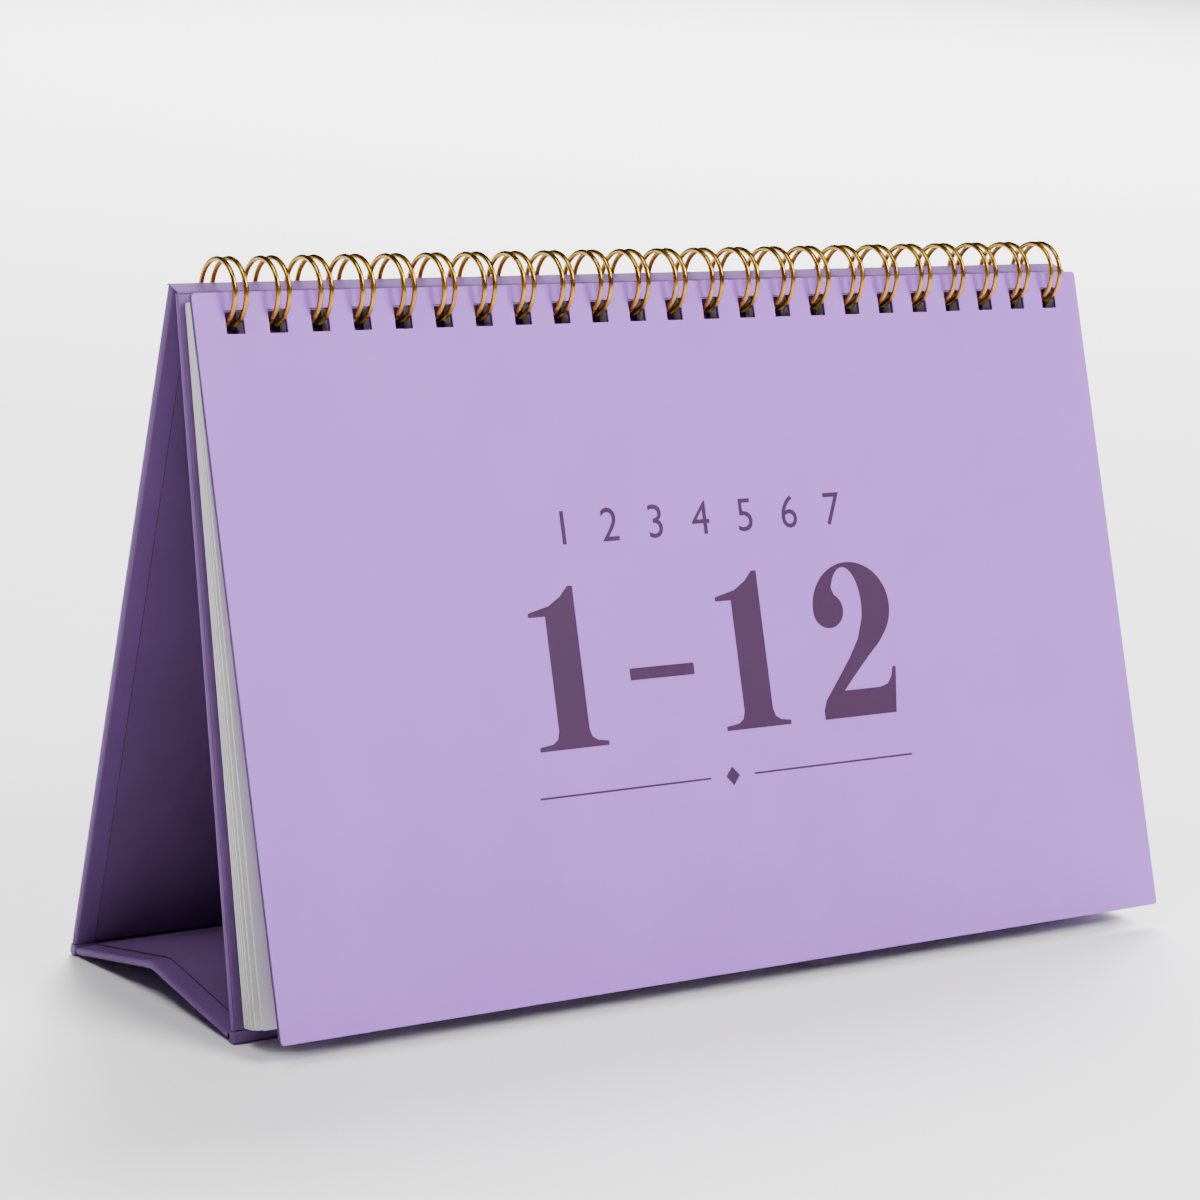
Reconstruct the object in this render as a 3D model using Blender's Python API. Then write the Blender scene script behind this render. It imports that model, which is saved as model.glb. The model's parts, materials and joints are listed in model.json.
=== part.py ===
"""Desk calendar: a folding tent stand, a twin-loop wire binding, leaves and a hard cover.

Metres, +Z up, the calendar faces -Y and stands on Z = 0.  Sections are worked out in the
Y-Z plane from the ridge pivot, as (y, z) pairs, and then set down on the feet.
"""
import math

import bmesh
import bpy
import numpy as np

# Cover and leaves
COVER_W = 0.202
COVER_H = 0.127
COVER_T = 0.00085
COVER_CORNER_R = 0.0007
COVER_LEAN = math.radians(17.6)
LEAF_SIDE_INSET = 0.0005
LEAF_SHORT = 0.0038
LEAF_T = 0.00025
LEAF_CORNER_R = 0.0004
LEAF_LEANS = [math.radians(lean) for lean in (13.25, 13.4, 13.55, 13.75, 14.2, 15.1)]
STACK_GAP = 0.0003
LEAF_GAP = 0.00012
STACK_LEVEL = 0.0010
CORNER_STEPS = 2

# Wire binding and the punched rows
LOOP_PITCH = 0.0254 / 3
ROW_MARGIN = 0.006
WIRE_D = 0.0009
TWIN_SPACING = 0.0022
RING_FRONT = 0.0028
RING_DROP = 0.0010
RIDGE_CLEAR = 0.0006
TURN_RISE = 0.00062
TURN_FRONT = 0.0006
TURN_STEPS = 36
HOLE_SIDE_CLEAR = 0.00025
HOLE_END_CLEAR = 0.0001
LEAF_HOLE_SIDE_CLEAR = 0.00085
LEAF_HOLE_END_CLEAR = 0.00055
HOLE_H = 0.0041
LEAF_STRIP = 0.00175
COVER_STRIP = 0.0031
BOARD_HOLE_CLEAR = 0.0004
SEAM_ANGLE = math.radians(-6.0)
SEAM_GAP = 0.00165
LINK_BEND_R = 0.0010
ARC_STEPS = 11
WIRE_BEVEL_STEPS = 1

# Wrapped boards of the stand
PANEL_SIDE_MARGIN = 0.0005
PANEL_SHORT = 0.0002
PANEL_LEAN = math.radians(12.5)
PAPER_T = 0.00018
GLUE_GAP = 0.00007
BOARD_T = 0.00093
LINER_T = 0.00016
TURN_IN = 0.012
LINER_INSET = 0.004
LINER_TOP = 0.0092
LINER_HINGE = 0.0005
RIDGE_GAP = 0.0002
FRONT_DROP = 0.00146
BACK_DROP = 0.0005
SPINE_FRONT_R = 0.0004
SPINE_BACK_R = 0.00035
SPINE_STEPS = 4
TOP_GAP = 0.00012
FOOT_H = 0.0020
FOOT_ROUND = 0.0006
FOOT_GAP = 0.0002

# Base and fold
CREASE_RISE = math.radians(10.3)
HINGE_GAP = 0.0003
CREASE_CLEAR = 0.0003
FOLD_RANGE = math.radians(16.0)
CLOSED_ANGLE = math.radians(1.0)
FOLD_STEPS = 36

LEAF_W = COVER_W - 2 * LEAF_SIDE_INSET
LEAF_H = COVER_H - LEAF_SHORT
PANEL_W = COVER_W + 2 * PANEL_SIDE_MARGIN
PANEL_L = COVER_H - PANEL_SHORT
LOOP_COUNT = int((COVER_W - 2 * ROW_MARGIN) / LOOP_PITCH) + 1
PANEL_T = LINER_T + GLUE_GAP + PAPER_T + GLUE_GAP + BOARD_T + GLUE_GAP + PAPER_T
LIP_DEPTH = LINER_T + GLUE_GAP
BOARD_DEPTH = LIP_DEPTH + PAPER_T + GLUE_GAP
SHEET_DEPTH = BOARD_DEPTH + BOARD_T + GLUE_GAP
HOLE_W = TWIN_SPACING + WIRE_D + 2 * HOLE_SIDE_CLEAR
LEAF_HOLE_W = TWIN_SPACING + WIRE_D + 2 * LEAF_HOLE_SIDE_CLEAR
FRONT, BACK = -1, 1


# Section geometry

def turned(point, angle):
    """A (y, z) point turned about the X axis."""
    y, z = point
    return (y * math.cos(angle) - z * math.sin(angle), y * math.sin(angle) + z * math.cos(angle))


def shifted(point, by):
    return (point[0] + by[0], point[1] + by[1])


def panel_point(side, depth, along):
    """A point of a tent panel: depth out from its inner face, along down from the ridge."""
    return turned((side * (RIDGE_GAP / 2 + depth), -along), side * PANEL_LEAN)


def foot_pivot(side):
    """Where a panel's inner face meets the base's inner face."""
    return panel_point(side, 0.0, PANEL_L)


def floor_level():
    return foot_pivot(FRONT)[1] - FOOT_H


def arc(centre, radius, start, end):
    """Points of an arc of the spine, from one angle to another."""
    turns = [start + (end - start) * step / SPINE_STEPS for step in range(SPINE_STEPS + 1)]
    return [shifted(centre, (radius * math.cos(turn), radius * math.sin(turn))) for turn in turns]


def spine_curve(inset):
    """The spine's curve, from the front panel's top edge up to the back panel's, inset from its face."""
    front_y, front_z = panel_point(FRONT, PANEL_T - SPINE_FRONT_R, FRONT_DROP - TOP_GAP)
    back_y, back_z = panel_point(BACK, PANEL_T - SPINE_BACK_R, BACK_DROP - TOP_GAP)
    apart = math.hypot(back_y - front_y, back_z - front_z)
    slope = math.atan2(back_z - front_z, back_y - front_y)
    slope -= math.asin((SPINE_FRONT_R - SPINE_BACK_R) / apart)
    crown = slope + math.pi / 2
    front = arc((front_y, front_z), SPINE_FRONT_R - inset, math.pi - PANEL_LEAN, crown)
    back = arc((back_y, back_z), SPINE_BACK_R - inset, crown, PANEL_LEAN)
    return front + back


def ring_centre():
    return (-RING_FRONT, -RING_DROP)


def ring_radius():
    """The wire's centre line passes clear of the spine's rear edge."""
    centre = ring_centre()
    reach = [math.hypot(y - centre[0], z - centre[1]) for y, z in spine_curve(0.0)]
    return max(reach) + RIDGE_CLEAR + WIRE_D / 2


def turn_axis():
    """The line that the pages turn about: over the rings' middle, as the pages ride up the wire."""
    return shifted(ring_centre(), (-TURN_FRONT, TURN_RISE))


def page_size(index):
    """Width, height, thickness and strip over the holes of a page; the last page is the cover."""
    if index == len(LEAF_LEANS):
        return COVER_W, COVER_H, COVER_T, COVER_STRIP
    return LEAF_W, LEAF_H, LEAF_T, LEAF_STRIP


def page_place(index):
    """Lean of a page and its middle's distance in front of the turning axis."""
    lean = (LEAF_LEANS + [COVER_LEAN])[index]
    stacked = STACK_GAP + index * (LEAF_T + LEAF_GAP) + page_size(index)[2] / 2
    start = panel_point(FRONT, PANEL_T + stacked, STACK_LEVEL)
    axis = turn_axis()
    return lean, -turned((start[0] - axis[0], start[1] - axis[1]), lean)[0]


def page_hole(index):
    """Upper and lower end of a page's holes, which clear the wire all through the page's turn."""
    lean, offset = page_place(index)
    thickness = page_size(index)[2]
    heights = []
    for step in range(TURN_STEPS + 1):
        y, z = turned((TURN_FRONT, -TURN_RISE), lean + math.pi * step / TURN_STEPS)
        for radius in (ring_radius() - WIRE_D / 2, ring_radius() + WIRE_D / 2):
            for depth in (-offset - thickness / 2, -offset, -offset + thickness / 2):
                heights.append(z - math.sqrt(radius ** 2 - (depth - y) ** 2))
    clear = HOLE_END_CLEAR if index == len(LEAF_LEANS) else LEAF_HOLE_END_CLEAR
    upper = max(heights) + clear
    return upper, min(min(heights) - clear, upper - HOLE_H)


def punched_span(side, folds):
    """Highest and lowest point of a panel that the wire needs, over a range of fold angles."""
    centre = ring_centre()
    inner = RIDGE_GAP / 2
    heights = []
    for fold in folds:
        lean = side * PANEL_LEAN - fold
        for radius in (ring_radius() - WIRE_D / 2, ring_radius() + WIRE_D / 2):
            for angle in np.linspace(math.pi, 2 * math.pi, 400):
                on_ring = shifted(centre, (radius * math.cos(angle), radius * math.sin(angle)))
                y, z = turned(on_ring, -lean)
                if inner <= side * y <= inner + PANEL_T:
                    heights.append(z)
    return max(heights) + BOARD_HOLE_CLEAR, min(heights) - BOARD_HOLE_CLEAR


def foot_angle():
    """Angle at a foot between the panel and its half of the base, standing open."""
    return math.pi / 2 - PANEL_LEAN - CREASE_RISE


def fold_ratio():
    return (foot_angle() - CLOSED_ANGLE) / FOLD_RANGE


def half_base_length():
    """Longest half base whose tip stays on its own side of the tent all through the fold."""
    lengths = []
    for step in range(FOLD_STEPS + 1):
        fold = FOLD_RANGE * step / FOLD_STEPS
        lean = PANEL_LEAN - fold / 2
        room = PANEL_L * math.sin(lean) + RIDGE_GAP / 2 * math.cos(lean) - CREASE_CLEAR
        rise = math.pi / 2 - lean - (foot_angle() - fold_ratio() * fold)
        lengths.append(room / math.cos(rise))
        lengths.append((room - PANEL_T * math.sin(rise)) / math.cos(rise) + PANEL_T)
    return min(lengths)


def foot_outline(side):
    """Section of the folded edge under a panel: flat on the floor, rounded at its outer side."""
    top = PANEL_L
    floor = floor_level()
    outer_top = panel_point(side, PANEL_T, top)
    slope = side * math.tan(PANEL_LEAN)
    outer_low = (outer_top[0] + slope * (outer_top[1] - floor - FOOT_ROUND), floor + FOOT_ROUND)
    toe = (outer_low[0] - side * FOOT_ROUND, floor)
    heel = (foot_pivot(side)[0], floor)
    return [outer_top, outer_low, toe, heel, panel_point(side, 0.0, top)]


def ridge_place():
    """The ridge pivot in the model: feet on the floor, the whole object centred on Y = 0."""
    cover = len(LEAF_LEANS)
    lean, offset = page_place(cover)
    width, height, thickness, strip = page_size(cover)
    bottom = page_hole(cover)[0] + strip - height
    front = min(turned((-offset - half, bottom), -lean)[0] for half in (-thickness / 2, thickness / 2))
    back = max(y for y, z in foot_outline(BACK))
    return (-(front + turn_axis()[0] + back) / 2, -floor_level())


# Materials

def linear(value):
    value = value / 255
    return value / 12.92 if value <= 0.04045 else ((value + 0.055) / 1.055) ** 2.4


def material(name, colour, roughness, metallic=0.0):
    made = bpy.data.materials.new(name)
    made.use_nodes = True
    shader = made.node_tree.nodes["Principled BSDF"]
    shader.inputs["Base Color"].default_value = [linear(c) for c in colour] + [1.0]
    shader.inputs["Roughness"].default_value = roughness
    shader.inputs["Metallic"].default_value = metallic
    return made


def make_materials():
    return {
        "wrap": material("lilac_covering_paper", (150, 124, 178), 0.6),
        "liner": material("lilac_lining_paper", (138, 113, 166), 0.65),
        "board": material("grey_board", (150, 144, 140), 0.9),
        "leaf": material("white_leaf_paper", (240, 239, 238), 0.7),
        "cover": material("lilac_cover_board", (188, 165, 211), 0.55),
        "wire": material("gold_wire", (206, 158, 66), 0.28, 1.0),
    }


# Mesh tools

def outline_solid(outline, along):
    """A closed solid: a flat outline of points swept along a vector."""
    bm = bmesh.new()
    face = bm.faces.new([bm.verts.new(point) for point in outline])
    swept = bmesh.ops.extrude_face_region(bm, geom=[face])
    moved = [item for item in swept["geom"] if isinstance(item, bmesh.types.BMVert)]
    bmesh.ops.translate(bm, verts=moved, vec=along)
    bmesh.ops.recalc_face_normals(bm, faces=bm.faces)
    return bm


def plate(half_w, depths, heights, corner=0.0):
    """An upright plate between two depths in Y and two heights in Z, corners rounded."""
    low, high = min(heights), max(heights)
    front = min(depths)
    outline = [(-half_w, front, low), (half_w, front, low), (half_w, front, high), (-half_w, front, high)]
    bm = outline_solid(outline, (0, max(depths) - front, 0))
    if corner:
        across = [e for e in bm.edges if abs(e.verts[0].co.y - e.verts[1].co.y) > (max(depths) - front) / 2]
        bmesh.ops.bevel(bm, geom=across, offset=corner, segments=CORNER_STEPS, affect="EDGES", profile=0.5)
    return bm


def add_object(name, bm, finish, parent=None):
    mesh = bpy.data.meshes.new(name)
    bm.to_mesh(mesh)
    bm.free()
    made = bpy.data.objects.new(name, mesh)
    if finish:
        mesh.materials.append(finish)
    bpy.context.scene.collection.objects.link(made)
    made.parent = parent
    return made


def add_axis(name, place, angle, parent=None):
    """An empty on a hinge line, turned about X; its place is a (y, z) point of its parent."""
    made = bpy.data.objects.new(name, None)
    bpy.context.scene.collection.objects.link(made)
    made.location = (0, place[0], place[1])
    made.rotation_euler = (angle, 0, 0)
    made.parent = parent
    return made


def loop_places():
    return [(loop - (LOOP_COUNT - 1) / 2) * LOOP_PITCH for loop in range(LOOP_COUNT)]


def punch(piece, depths, heights, width=HOLE_W):
    """Cut the row of wire holes through a piece with a hidden row of blocks."""
    reach = max(depths) - min(depths)
    row = bmesh.new()
    for x in loop_places():
        block = plate(width / 2, (min(depths) - reach, max(depths) + reach), heights)
        bmesh.ops.translate(block, verts=block.verts, vec=(x, 0, 0))
        scratch = bpy.data.meshes.new("block")
        block.to_mesh(scratch)
        block.free()
        row.from_mesh(scratch)
        bpy.data.meshes.remove(scratch)
    cutter = add_object(piece.name + "_holes", row, None, piece)
    cutter.hide_render = True
    cutter.display_type = "WIRE"
    cut = piece.modifiers.new("punched_row", "BOOLEAN")
    cut.operation = "DIFFERENCE"
    cut.solver = "EXACT"
    cut.object = cutter


# The stand

def make_panel(prefix, side, inner, start, liner_span, ends, finishes, parent):
    """A wrapped board in its hinge's frame: board, covering paper and liner.

    The panel runs down local -Z from its hinge and its outer face looks along side * Y.
    start, liner_span and ends are distances from the hinge; ends trims board and wrap.
    """
    def depth(value):
        return side * (inner + value)

    board_end, wrap_end = ends
    board = plate(
        PANEL_W / 2 - PAPER_T - GLUE_GAP,
        (depth(BOARD_DEPTH), depth(BOARD_DEPTH + BOARD_T)),
        (-start, -board_end))
    made_board = add_object(prefix + "_board", board, finishes["board"], parent)

    half = PANEL_W / 2
    wall = half - PAPER_T
    lip = half - TURN_IN
    right = [
        (half, PANEL_T), (half, LIP_DEPTH), (lip, LIP_DEPTH), (lip, LIP_DEPTH + PAPER_T),
        (wall, LIP_DEPTH + PAPER_T), (wall, SHEET_DEPTH)]
    left = [(-x, y) for x, y in reversed(right)]
    outline = [(x, depth(y), -start) for x, y in right + left]
    wrap = outline_solid(outline, (0, 0, start - wrap_end))
    made_wrap = add_object(prefix + "_wrap", wrap, finishes["wrap"], parent)

    liner = plate(half - LINER_INSET, (depth(0.0), depth(LINER_T)), (-liner_span[0], -liner_span[1]))
    add_object(prefix + "_liner", liner, finishes["liner"], parent)
    return made_board, made_wrap


def make_tent_panel(prefix, side, folds, finishes, parent):
    end = PANEL_L - FOOT_GAP
    start = FRONT_DROP if side == FRONT else BACK_DROP
    liner_span = (LINER_TOP, PANEL_L - LINER_HINGE)
    board, wrap = make_panel(
        prefix, side, RIDGE_GAP / 2, start, liner_span, (end, end), finishes, parent)
    heights = punched_span(side, folds)
    depths = (side * RIDGE_GAP / 2, side * (RIDGE_GAP / 2 + PANEL_T))
    punch(board, depths, heights)
    punch(wrap, depths, heights)


def make_half_base(prefix, side, finishes, parent):
    tip = half_base_length()
    liner_span = (LINER_HINGE, tip - LINER_T)
    ends = (tip - BOARD_DEPTH - BOARD_T, tip - PANEL_T)
    make_panel(prefix, side, 0.0, HINGE_GAP, liner_span, ends, finishes, parent)


def make_strip(name, outline, finish, place):
    """A strip as wide as the stand, from a section given at the ridge pivot."""
    points = [(-PANEL_W / 2, y, z) for y, z in outline]
    strip = add_object(name, outline_solid(points, (PANEL_W, 0, 0)), finish)
    strip.location = (0, place[0], place[1])
    return strip


def make_stand(place, finishes):
    front_axis = add_axis("front_panel_axis", place, FRONT * PANEL_LEAN)
    ridge_axis = add_axis("ridge_axis", place, BACK * PANEL_LEAN)
    foot = (FRONT * RIDGE_GAP / 2, -PANEL_L)
    front_foot_axis = add_axis("front_foot_axis", foot, math.pi - foot_angle(), front_axis)
    foot = (BACK * RIDGE_GAP / 2, -PANEL_L)
    back_foot_axis = add_axis("back_foot_axis", foot, -(math.pi - foot_angle()), ridge_axis)

    folds = [FOLD_RANGE * step / FOLD_STEPS for step in range(FOLD_STEPS + 1)]
    make_tent_panel("front", FRONT, [0.0], finishes, front_axis)
    make_tent_panel("back", BACK, folds, finishes, ridge_axis)
    make_half_base("base_front", FRONT, finishes, front_foot_axis)
    make_half_base("base_back", BACK, finishes, back_foot_axis)

    spine = spine_curve(0.0) + spine_curve(PAPER_T)[::-1]
    make_strip("ridge_strip", spine, finishes["wrap"], place)
    make_strip("front_foot_strip", foot_outline(FRONT), finishes["wrap"], place)
    back_foot = make_strip("back_foot_strip", foot_outline(BACK), finishes["wrap"], (0, 0))
    back_foot.parent = ridge_axis
    back_foot.rotation_euler = (-BACK * PANEL_LEAN, 0, 0)


# The wire

def finger(x):
    """One twin loop laid flat: (x, way round the ring), from link to tip and back to link."""
    half = TWIN_SPACING / 2
    bend = LINK_BEND_R
    length = 2 * math.pi * ring_radius() - SEAM_GAP
    near, far = bend, length - half
    slant = math.sqrt(0.5)
    left = [(-half - bend, 0.0), (-half - bend + bend * slant, bend - bend * slant)]
    for step in range(ARC_STEPS + 1):
        left.append((-half, near + (far - near) * step / ARC_STEPS))
    left.append((-half * slant, far + half * slant))
    right = [(-across, way) for across, way in reversed(left)]
    return [(x + across, way) for across, way in left + [(0.0, length)] + right]


def wire_points():
    """The whole wire: every twin loop joined to the next by a straight link."""
    flat = []
    for x in loop_places():
        flat += finger(x)
    flat = [(flat[0][0] - WIRE_D, 0.0)] + flat + [(flat[-1][0] + WIRE_D, 0.0)]
    centre = ring_centre()
    half_step = math.pi / ARC_STEPS
    radius = ring_radius() * 2 / (1 + math.cos(half_step))
    points = []
    for x, way in flat:
        angle = SEAM_ANGLE + way / ring_radius()
        points.append((x, centre[0] + radius * math.cos(angle), centre[1] + radius * math.sin(angle)))
    return points


def least_gap(points, samples=6):
    """Least free gap between stretches of the wire that lie further apart along it."""
    ends = np.array(points)
    shares = np.linspace(0, 1, samples, endpoint=False)[None, :, None]
    dense = (ends[:-1, None] * (1 - shares) + ends[1:, None] * shares).reshape(-1, 3)
    steps = np.linalg.norm(np.diff(dense, axis=0), axis=1)
    way = np.concatenate([[0.0], np.cumsum(steps)])
    apart = TWIN_SPACING * math.pi / 2 + WIRE_D
    least = 1.0
    for index in range(0, len(dense), 2):
        window = slice(index, index + samples * len(points) * 3 // LOOP_COUNT)
        far = way[window] - way[index] > apart
        if far.any():
            least = min(least, np.linalg.norm(dense[window][far] - dense[index], axis=1).min())
    return least - WIRE_D


def make_wire(place, finish):
    points = wire_points()
    curve = bpy.data.curves.new("wire_binding", "CURVE")
    curve.dimensions = "3D"
    curve.bevel_depth = WIRE_D / 2
    curve.bevel_resolution = WIRE_BEVEL_STEPS
    curve.use_fill_caps = True
    spline = curve.splines.new("POLY")
    spline.points.add(len(points) - 1)
    for knot, point in zip(spline.points, points):
        knot.co = (*point, 1.0)
    curve.materials.append(finish)
    wire = bpy.data.objects.new("wire_binding", curve)
    bpy.context.scene.collection.objects.link(wire)
    wire.location = (0, place[0], place[1])
    print("wire binding: least gap to itself %.2f mm" % (least_gap(points) * 1000))


# The pages

def make_page(name, index, corner, hole_width, finish, parent):
    """A punched sheet on the wire, its origin on the axis that it turns about."""
    width, height, thickness, strip = page_size(index)
    lean, offset = page_place(index)
    upper, lower = page_hole(index)
    top = upper + strip
    depths = (-offset - thickness / 2, -offset + thickness / 2)
    page = add_object(name, plate(width / 2, depths, (top - height, top), corner), finish, parent)
    page.rotation_euler = (-lean, 0, 0)
    punch(page, depths, (lower, upper), hole_width)


def make_pages(place, finishes):
    axis = add_axis("turn_axis", shifted(place, turn_axis()), 0.0)
    count = len(LEAF_LEANS)
    for index in range(count):
        make_page("leaf_%d" % (index + 1), index, LEAF_CORNER_R, LEAF_HOLE_W, finishes["leaf"], axis)
    make_page("front_cover", count, COVER_CORNER_R, HOLE_W, finishes["cover"], axis)


def main():
    for old in list(bpy.data.objects):
        bpy.data.objects.remove(old)
    finishes = make_materials()
    place = ridge_place()
    make_stand(place, finishes)
    make_wire(place, finishes["wire"])
    make_pages(place, finishes)


main()
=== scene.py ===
"""Desk calendar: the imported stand, wire and pages, dressed in paper, print and gold wire.

Metres, +Z up.  The calendar faces -Y and stands on Z = 0.  Panels are worked out from the ridge
hinge and pages from the line that they turn about, both read from the frame.
"""
import json
import math

import bmesh
import bpy
from mathutils import Matrix, Vector


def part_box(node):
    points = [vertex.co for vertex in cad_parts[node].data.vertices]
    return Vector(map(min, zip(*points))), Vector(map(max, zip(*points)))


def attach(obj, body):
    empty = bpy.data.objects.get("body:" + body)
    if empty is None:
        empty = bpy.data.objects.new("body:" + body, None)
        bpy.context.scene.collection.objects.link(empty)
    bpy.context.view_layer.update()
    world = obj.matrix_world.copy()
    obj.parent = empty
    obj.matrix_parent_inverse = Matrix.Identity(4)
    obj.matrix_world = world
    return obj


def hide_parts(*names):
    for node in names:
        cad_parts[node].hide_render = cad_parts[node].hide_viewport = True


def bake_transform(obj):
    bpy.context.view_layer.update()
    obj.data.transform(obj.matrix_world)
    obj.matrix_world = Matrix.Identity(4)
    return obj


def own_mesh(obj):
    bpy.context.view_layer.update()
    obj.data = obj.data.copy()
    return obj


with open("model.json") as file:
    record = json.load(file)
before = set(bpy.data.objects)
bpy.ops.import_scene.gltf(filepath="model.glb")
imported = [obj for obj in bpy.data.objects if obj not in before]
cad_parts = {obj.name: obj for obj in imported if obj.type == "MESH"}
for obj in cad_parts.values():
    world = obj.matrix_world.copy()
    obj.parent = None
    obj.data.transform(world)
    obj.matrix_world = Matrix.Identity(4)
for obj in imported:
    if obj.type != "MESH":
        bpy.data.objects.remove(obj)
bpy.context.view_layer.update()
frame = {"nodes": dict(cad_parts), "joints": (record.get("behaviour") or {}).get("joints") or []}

JOINTS = {joint["name"]: joint for joint in frame["joints"]}
RIDGE = Vector(JOINTS["ridge_fold"]["pos_m"])
TURN = Vector(JOINTS["cover_turn"]["pos_m"])
FRONT_FOOT = Vector(JOINTS["base_front_fold"]["pos_m"])
BACK_FOOT = Vector(JOINTS["base_back_fold"]["pos_m"])
FRONT, BACK = -1, 1
MM = 0.001

bl_info = {
    "name": "Desk Calendar",
    "version": (1, 0, 0),
    "blender": (4, 5, 0),
    "location": "View3D > Sidebar > Calendar",
    "description": "Dresses a folding desk calendar with paper, print and a twin-loop wire",
    "category": "Object",
}


# Sizes and colours

def length(name, text, default):
    """A length in metres, given in millimetres."""
    return bpy.props.FloatProperty(
        name=name, description=text, default=default * MM, unit="LENGTH", precision=5)


def angle(name, text, default):
    """An angle, given in degrees."""
    return bpy.props.FloatProperty(
        name=name, description=text, default=math.radians(default), unit="ROTATION")


def colour(name, text, default):
    """A linear colour, given as three 0 to 255 screen values."""
    def linear(value):
        value = value / 255
        return value / 12.92 if value <= 0.04045 else ((value + 0.055) / 1.055) ** 2.4

    return bpy.props.FloatVectorProperty(
        name=name, description=text, default=[linear(value) for value in default], subtype="COLOR",
        min=0.0, max=1.0)


class CalendarStandSizes(bpy.types.PropertyGroup):
    """Sizes of the folding stand."""
    half_width: length("Half width", "Half the width of the stand", 101.5)
    lean: angle("Panel lean", "How far each panel leans from upright", 12.5)
    panel: length("Panel thickness", "Board, papers and glue together", 1.66)
    gap: length("Half ridge gap", "Half the space between the panels at the ridge", 0.1)
    front_drop: length("Front drop", "From the ridge hinge down to the front panel's top end", 1.46)
    back_drop: length("Back drop", "From the ridge hinge down to the back panel's top end", 0.5)
    paper: length("Paper", "Thickness of the covering paper", 0.18)
    edge_round: length("Edge round", "Radius of the paper where it turns round a board's side", 0.7)
    spine_front: length("Front spine round", "Radius of the spine over the front panel", 0.4)
    spine_back: length("Back spine round", "Radius of the spine over the back panel", 0.35)
    base_rise: angle("Base rise", "How far each half of the base rises to the crease", 10.3)
    base_half: length("Half base", "From a foot hinge to the tip of its half of the base", 26.134)
    crease_round: length("Crease round", "Half the stretch of the rounded crease", 1.3)
    pucker: length("Pucker", "Depth of the small puckers along the crease", 0.08)
    lining_depth: length("Lining depth", "Lining and glue over the turned-in covering paper", 0.23)
    lining_inset: length("Lining inset", "From the stand's side to the lining's edge", 4.0)
    foot_round: length("Foot round", "Radius of the folded paper at the feet", 0.28)


class CalendarPageSizes(bpy.types.PropertyGroup):
    """Sizes of the pages and of what is printed on them."""
    cover_lean: angle("Cover lean", "How far the cover leans from upright", 17.6)
    cover_edge: length("Cover edge", "Width of the softened edge of the cover", 0.1)
    ink_lift: length("Ink lift", "How far the print stands off its page", 0.02)
    numeral: length("Numeral height", "Height of the large numerals on the cover", 29.0)
    numeral_foot: length("Numeral foot", "From the turning line down to the large numerals' foot", 84.2)
    row: length("Row height", "Height of the small numerals over the large ones", 6.2)
    row_foot: length("Row foot", "From the turning line down to the small numerals' foot", 47.8)
    row_width: length("Row width", "Width of the row of small numerals", 62.0)
    rule_level: length("Rule level", "From the turning line down to the rule", 92.4)
    rule_half: length("Half rule", "From the middle of the rule to its end", 43.0)
    rule_gap: length("Rule gap", "From the middle of the rule to where its line starts", 5.0)
    rule_line: length("Rule line", "Thickness of the rule", 0.36)
    diamond: length("Diamond", "Half the height of the diamond in the rule", 1.75)
    month_side: length("Month side", "From a leaf's side to its grid of days", 12.0)
    month_top: length("Month top", "From a leaf's top end down to its grid of days", 28.0)
    month_foot: length("Month foot", "From a leaf's bottom end up to its grid of days", 9.0)
    month_line: length("Month line", "Thickness of the lines between the weeks", 0.18)
    day: length("Day height", "Height of the day numbers", 3.6)
    day_drop: length("Day drop", "From a line down to the foot of the day numbers under it", 6.4)


class CalendarWireSizes(bpy.types.PropertyGroup):
    """Sizes of the twin-loop wire."""
    wire: length("Wire", "Diameter of the wire", 0.9)
    ring: length("Ring", "Radius of the loops at the wire's middle", 5.76)
    ring_back: length("Ring back", "From the turning line back to the loops' middle", 0.6)
    ring_down: length("Ring down", "From the turning line down to the loops' middle", 0.62)
    twin: length("Twin spacing", "From wire to wire in one twin loop", 2.2)
    pitch: length("Pitch", "From one twin loop to the next", 25.4 / 3)
    loops: bpy.props.IntProperty(name="Loops", description="Number of twin loops", default=23, min=1)
    seam: angle("Seam angle", "Where the links lie, above the level of the loops' middle", -6.0)
    seam_gap: length("Seam gap", "From the links round to the closed tips", 1.65)
    bend: length("Link bend", "Radius of the bend from a link into a loop", 1.0)


class CalendarColours(bpy.types.PropertyGroup):
    """Colours of paper, board, print and wire."""
    cover: colour("Cover", "Matt lilac of the cover", (156, 100, 200))
    cover_edge: colour("Cover edge", "Plum of the cover's cut edge", (78, 56, 98))
    # The covering is the cover's lilac paper, made darker and greyer as painted shade for the stand's shaded
    # sides
    covering: colour("Covering paper", "Lilac of the paper on the stand", (107, 77, 128))
    # The lining is lilac paper, darkened as painted shade for the inside of the stand
    lining: colour("Lining paper", "Lilac of the paper inside the stand", (104, 76, 121))
    # Board colour is painted shade: near-black plum instead of the board's own grey, so the punched holes
    # read as shadowed
    board: colour("Grey board", "Raw board inside the panels", (46, 34, 54))
    # The leaves' white paper, toned a little darker as painted shade for the stack in the cover's shadow
    leaf: colour("Leaf paper", "White of the leaves", (214, 213, 212))
    ink: colour("Ink", "Plum of the print", (58, 29, 62))
    wire: colour("Gold wire", "Gold lacquer of the wire", (186, 140, 24))
    wire_deep: colour("Deep gold", "Gold lacquer where it lies thicker", (156, 108, 14))
    floor: colour("Floor", "Pale floor of the studio", (246, 246, 247))


def sizes(group):
    """One of the scene's groups of sizes or colours."""
    return getattr(bpy.context.scene, "calendar_" + group)


# Materials

def new_material(name):
    """A node material, with its tree and its shader."""
    made = bpy.data.materials.new(name)
    made.use_nodes = True
    tree = made.node_tree
    return made, tree, tree.nodes["Principled BSDF"]


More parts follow.
